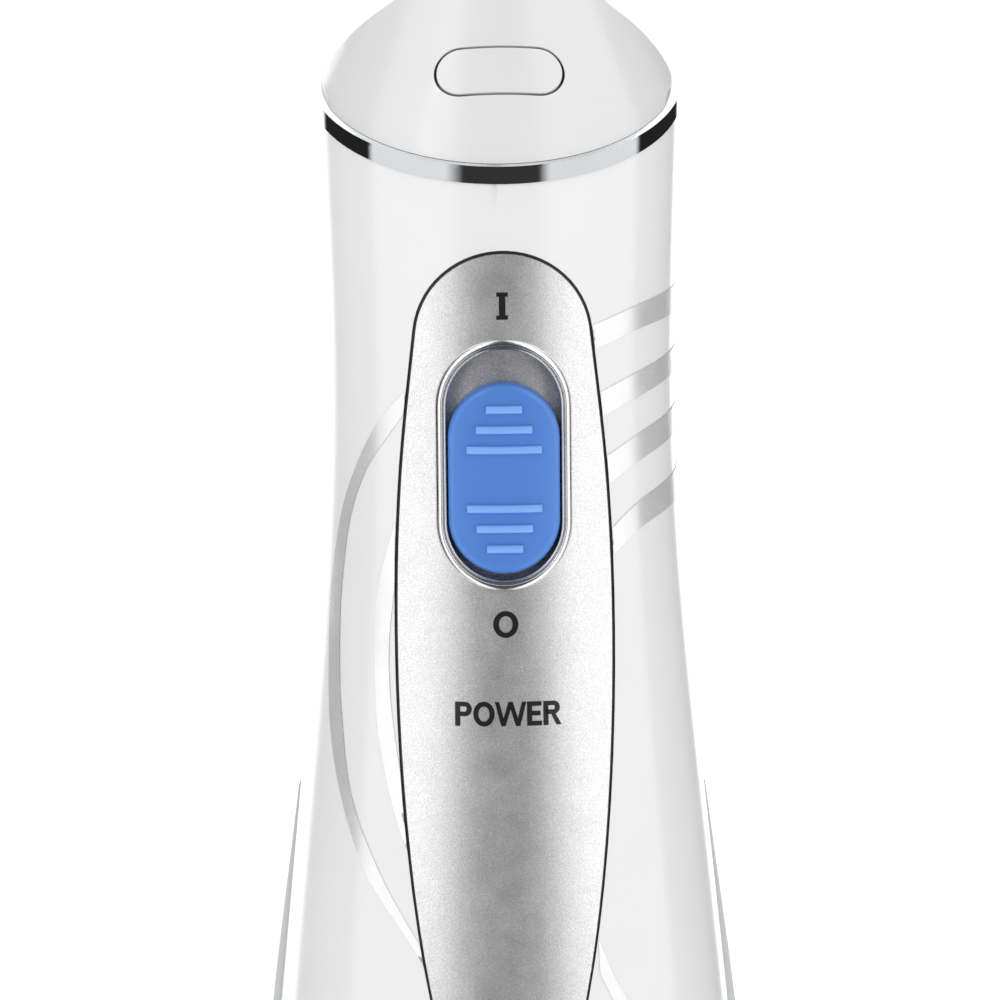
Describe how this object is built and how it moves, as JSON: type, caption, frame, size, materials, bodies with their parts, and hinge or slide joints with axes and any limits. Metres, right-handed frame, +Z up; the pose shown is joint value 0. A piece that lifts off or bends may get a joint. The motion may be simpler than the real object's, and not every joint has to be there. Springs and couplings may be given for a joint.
{
  "type": "water flosser",
  "caption": "Cordless handheld water flosser with slide power switch, detachable rear reservoir, release button and rotating jet tip.",
  "frame": {"origin": "centre of the base on the surface it stands on", "axes": "+Z up along the body to the jet tip, front with the switch towards -Y, +X to the right seen from the front"},
  "size_m": [0.0738, 0.0726, 0.2839],
  "materials": {
    "white_gloss": "gloss moulded",
    "tank_clear": "translucent moulded",
    "chrome": "polished plating",
    "silver_paint": "satin metallic paint",
    "bezel_gloss": "gloss metallic",
    "track_grey": "fine speckle",
    "seal_black": "soft",
    "slider_blue": "satin moulded",
    "grey_rubber": "soft",
    "inner_plastic": "moulded",
    "clear_lens": "clear",
    "tip_white": "gloss moulded",
    "tip_blue": "gloss",
    "steel": "machined",
    "brass": "machined",
    "nylon": "moulded",
    "hose_clear": "soft",
    "board_green": "lacquered",
    "cell_wrap": "shrink sleeve"
  },
  "bodies": {
    "case": {"front_shell": "white_gloss", "rear_shell": "white_gloss", "base_plate": "white_gloss", "base_feet": "grey_rubber", "base_screws": "steel", "chrome_ring": "chrome", "head_cap": "white_gloss", "control_panel": "silver_paint", "panel_gasket": "seal_black", "slot_bezel": "bezel_gloss", "slide_track": "track_grey", "slide_switch": "inner_plastic", "circuit_board": "board_green", "charge_light": "clear_lens", "latch_spring": "steel", "nozzle_socket": "inner_plastic", "socket_oring": "seal_black", "inlet_port": "inner_plastic", "charge_socket": "inner_plastic", "cover_pin": "white_gloss", "motor_can": "steel", "gear_axle": "steel", "pump_cylinder": "inner_plastic", "suction_hose": "hose_clear", "outlet_hose": "hose_clear", "pump_chassis": "inner_plastic", "battery_cell": "cell_wrap", "battery_contacts": "steel", "case_screws": "steel"},
    "slider": {"power_slider": "slider_blue", "switch_carriage": "nylon"},
    "button": {"release_button": "white_gloss", "release_latch": "inner_plastic"},
    "dial": {"tip_dial": "white_gloss"},
    "tip": {"jet_tip": "tip_white", "tip_ring": "tip_blue"},
    "reservoir": {"tank_shell": "tank_clear", "tank_feet": "grey_rubber", "door_pin": "steel", "tank_outlet": "inner_plastic", "outlet_oring": "seal_black"},
    "fill_lid": {"fill_door": "white_gloss", "door_gasket": "grey_rubber"},
    "socket_flap": {"charge_cover": "grey_rubber"},
    "crank": {"crank_gear": "nylon"},
    "rotor": {"drive_pinion": "brass"},
    "rod": {"connecting_rod": "nylon"},
    "piston": {"pump_piston": "nylon", "piston_seal": "seal_black"},
    "inlet_valve": {"inlet_valve_ball": "steel"},
    "outlet_valve": {"outlet_valve_ball": "steel"}
  },
  "joints": [
    {"name": "power_slide", "type": "slide", "parent": "case", "child": "slider", "axis": [0, 0, 1], "range_m": [0, 0.004]},
    {"name": "release_press", "type": "slide", "parent": "case", "child": "button", "axis": [0, 0.8836, -0.4683], "range_m": [0, 0.0015], "stiffness_N_per_m": 400},
    {"name": "dial_turn", "type": "hinge", "parent": "case", "child": "dial", "pos_m": [0, 0, 0.206], "axis": [0, 0, 1], "continuous": true},
    {"name": "tip_pull", "type": "slide", "parent": "dial", "child": "tip", "axis": [0, 0, 1], "range_m": [0, 0.024]},
    {"name": "reservoir_pull", "type": "slide", "parent": "case", "child": "reservoir", "axis": [0, 1, 0], "range_m": [0, 0.045]},
    {"name": "fill_lid_hinge", "type": "hinge", "parent": "reservoir", "child": "fill_lid", "pos_m": [0, 0.0312, 0.0802], "axis": [1, 0, 0], "range_deg": [0, 110]},
    {"name": "flap_hinge", "type": "hinge", "parent": "case", "child": "socket_flap", "pos_m": [0, 0.028, 0.1136], "axis": [1, 0, 0], "range_deg": [0, 120]},
    {"name": "crank_spin", "type": "hinge", "parent": "case", "child": "crank", "pos_m": [0.0083, 0.005, 0.1309], "axis": [0, 0, 1], "continuous": true},
    {"name": "rotor_spin", "type": "hinge", "parent": "case", "child": "rotor", "pos_m": [-0.0055, 0.005, 0.1309], "axis": [0, 0, 1], "continuous": true},
    {"name": "rod_swing", "type": "hinge", "parent": "crank", "child": "rod", "pos_m": [0.0053, 0.005, 0.1386], "axis": [0, 0, 1], "continuous": true},
    {"name": "piston_stroke", "type": "slide", "parent": "case", "child": "piston", "axis": [-1, 0, 0], "range_m": [0, 0.0058]},
    {"name": "inlet_valve_lift", "type": "slide", "parent": "case", "child": "inlet_valve", "axis": [0, 0, 1], "range_m": [0, 0.0008]},
    {"name": "outlet_valve_lift", "type": "slide", "parent": "case", "child": "outlet_valve", "axis": [0, 0, 1], "range_m": [0, 0.0008]}
  ],
  "couplings": [
    {"joint": "rotor_spin", "follows": "crank_spin", "ratio": -3.6},
    {"joint": "rod_swing", "follows": "crank_spin", "ratio": -1}
  ]
}
